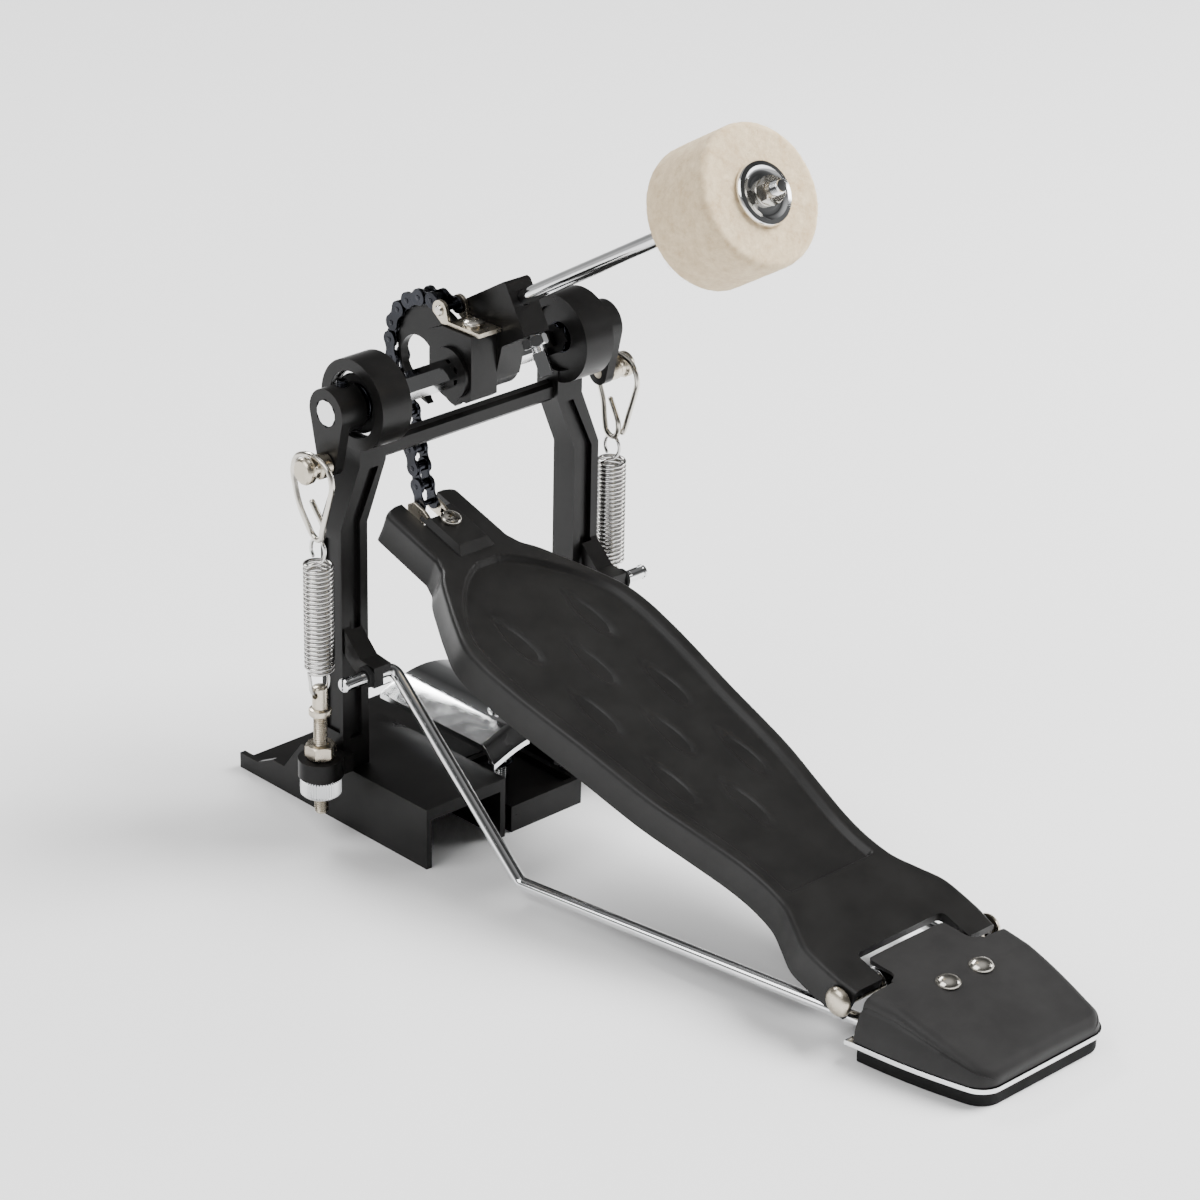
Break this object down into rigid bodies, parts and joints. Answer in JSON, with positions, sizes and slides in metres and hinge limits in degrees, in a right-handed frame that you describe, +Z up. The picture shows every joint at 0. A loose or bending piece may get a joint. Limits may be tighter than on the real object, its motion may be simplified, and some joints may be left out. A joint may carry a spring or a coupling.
{
  "type": "bass drum pedal",
  "caption": "Foot pedal on a frame with a felt beater on a swinging axle, pulled by a chain from a hinged footboard and returned by tension springs.",
  "frame": {"origin": "on the floor under the base, directly below the middle of the axle", "axes": "+X to the player's right along the axle, +Y towards the drum, +Z up"},
  "size_m": [0.183, 0.3995, 0.3258],
  "materials": {
    "black_coat": "satin black powder coat",
    "chrome": "polished chrome",
    "nickel": "satin nickel plate",
    "blue_steel": "glossy blue-black oiled steel",
    "cover_plastic": "fine-textured matte charcoal",
    "rubber": "matte black rubber",
    "felt": "pressed cream wool felt"
  },
  "bodies": {
    "frame": {"base_plate": "black_coat", "left_upright": "black_coat", "right_upright": "black_coat", "cross_bar": "black_coat", "left_bearing_outer_race": "chrome", "right_bearing_outer_race": "chrome", "left_eye_bolt": "nickel", "right_eye_bolt": "nickel", "left_lock_nut": "nickel", "right_lock_nut": "nickel", "radius_rod": "chrome", "left_rod_clip": "nickel", "right_rod_clip": "nickel", "heel_plate": "chrome", "heel_cover": "cover_plastic", "heel_pad": "rubber", "left_heel_rivet": "nickel", "right_heel_rivet": "nickel", "hoop_pad": "rubber", "hoop_clamp_spring": "blue_steel"},
    "hoop_clamp": {"hoop_clamp_plate": "chrome"},
    "hoop_bolt": {"hoop_clamp_bolt": "chrome"},
    "axle": {"axle_shaft": "chrome", "left_bearing_inner_race": "chrome", "right_bearing_inner_race": "chrome", "cam_hub": "black_coat", "left_crank": "black_coat", "right_crank": "black_coat", "left_crank_set_screw": "nickel", "right_crank_set_screw": "nickel", "left_spring_pin": "nickel", "right_spring_pin": "nickel", "chain_anchor": "nickel", "chain_anchor_screw": "nickel", "chain_on_cam": "blue_steel", "beater_clamp_bolt": "chrome"},
    "beater": {"beater_rod": "chrome", "beater_felt": "felt", "beater_cup_washer": "nickel", "beater_nut": "nickel", "beater_collar": "nickel"},
    "chain_6": {"chain_link_6": "blue_steel"},
    "chain_7": {"chain_link_7": "blue_steel"},
    "chain_hanging": {"chain_run": "blue_steel"},
    "foot": {"footboard": "black_coat", "hinge_pin": "nickel", "toe_bracket": "nickel", "toe_screw": "nickel"},
    "left_spring_body": {"left_spring": "nickel"},
    "left_hook_body": {"left_spring_hook": "nickel"},
    "left_nut_body": {"left_tension_nut": "chrome"},
    "right_spring_body": {"right_spring": "nickel"},
    "right_hook_body": {"right_spring_hook": "nickel"},
    "right_nut_body": {"right_tension_nut": "chrome"}
  },
  "joints": [
    {"name": "beater_swing", "type": "hinge", "parent": "frame", "child": "axle", "pos_m": [0, 0, 0.19], "axis": [-1, 0, 0], "range_deg": [0, 52], "stiffness_Nm_per_rad": 1.6},
    {"name": "beater_height", "type": "slide", "parent": "axle", "child": "beater", "axis": [0, -0.8572, 0.515], "range_m": [-0.012, 0.02]},
    {"name": "footboard_tilt", "type": "hinge", "parent": "frame", "child": "foot", "pos_m": [0, -0.2585, 0.02], "axis": [-1, 0, 0], "range_deg": [0, 8.2]},
    {"name": "chain_hinge_6", "type": "hinge", "parent": "axle", "child": "chain_6", "pos_m": [-0.0025, 0.042, 0.19862], "axis": [1, 0, 0], "range_deg": [0, 26.5]},
    {"name": "chain_hinge_7", "type": "hinge", "parent": "chain_6", "child": "chain_7", "pos_m": [-0.0025, 0.04349, 0.19076], "axis": [1, 0, 0], "range_deg": [0, 26.5]},
    {"name": "chain_hinge_8", "type": "hinge", "parent": "chain_7", "child": "chain_hanging", "pos_m": [-0.0025, 0.04247, 0.18282], "axis": [1, 0, 0], "range_deg": [0, 20.2]},
    {"name": "hoop_clamp_tilt", "type": "hinge", "parent": "frame", "child": "hoop_clamp", "pos_m": [0, -0.0415, 0.031], "axis": [-1, 0, 0], "range_deg": [0, 4]},
    {"name": "hoop_bolt_turn", "type": "hinge", "parent": "frame", "child": "hoop_bolt", "pos_m": [0, -0.0206, 0.03], "axis": [0, 0, 1], "continuous": true},
    {"name": "left_spring_lean", "type": "hinge", "parent": "frame", "child": "left_spring_body", "pos_m": [-0.082, 0, 0.0677], "axis": [1, 0, 0], "range_deg": [0, 9.4]},
    {"name": "left_spring_stretch", "type": "slide", "parent": "left_spring_body", "child": "left_hook_body", "axis": [0, 0, 1], "range_m": [0, 0.0103], "deforming": ["left_spring"]},
    {"name": "left_tension_nut_turn", "type": "hinge", "parent": "frame", "child": "left_nut_body", "pos_m": [-0.082, 0, 0.025], "axis": [0, 0, 1], "continuous": true},
    {"name": "right_spring_lean", "type": "hinge", "parent": "frame", "child": "right_spring_body", "pos_m": [0.082, 0, 0.0677], "axis": [1, 0, 0], "range_deg": [0, 9.4]},
    {"name": "right_spring_stretch", "type": "slide", "parent": "right_spring_body", "child": "right_hook_body", "axis": [0, 0, 1], "range_m": [0, 0.0103], "deforming": ["right_spring"]},
    {"name": "right_tension_nut_turn", "type": "hinge", "parent": "frame", "child": "right_nut_body", "pos_m": [0.082, 0, 0.025], "axis": [0, 0, 1], "continuous": true}
  ],
  "couplings": [
    {"joint": "footboard_tilt", "follows": "beater_swing", "ratio": 0.1535},
    {"joint": "chain_hinge_6", "follows": "beater_swing", "ratio": 0.5},
    {"joint": "chain_hinge_7", "follows": "beater_swing", "ratio": 0.5},
    {"joint": "chain_hinge_8", "follows": "beater_swing", "ratio": 0.3817},
    {"joint": "left_spring_lean", "follows": "beater_swing", "ratio": 0.1742},
    {"joint": "left_spring_stretch", "follows": "beater_swing", "m_per_rad": 0.010829},
    {"joint": "right_spring_lean", "follows": "beater_swing", "ratio": 0.1742},
    {"joint": "right_spring_stretch", "follows": "beater_swing", "m_per_rad": 0.010829}
  ]
}
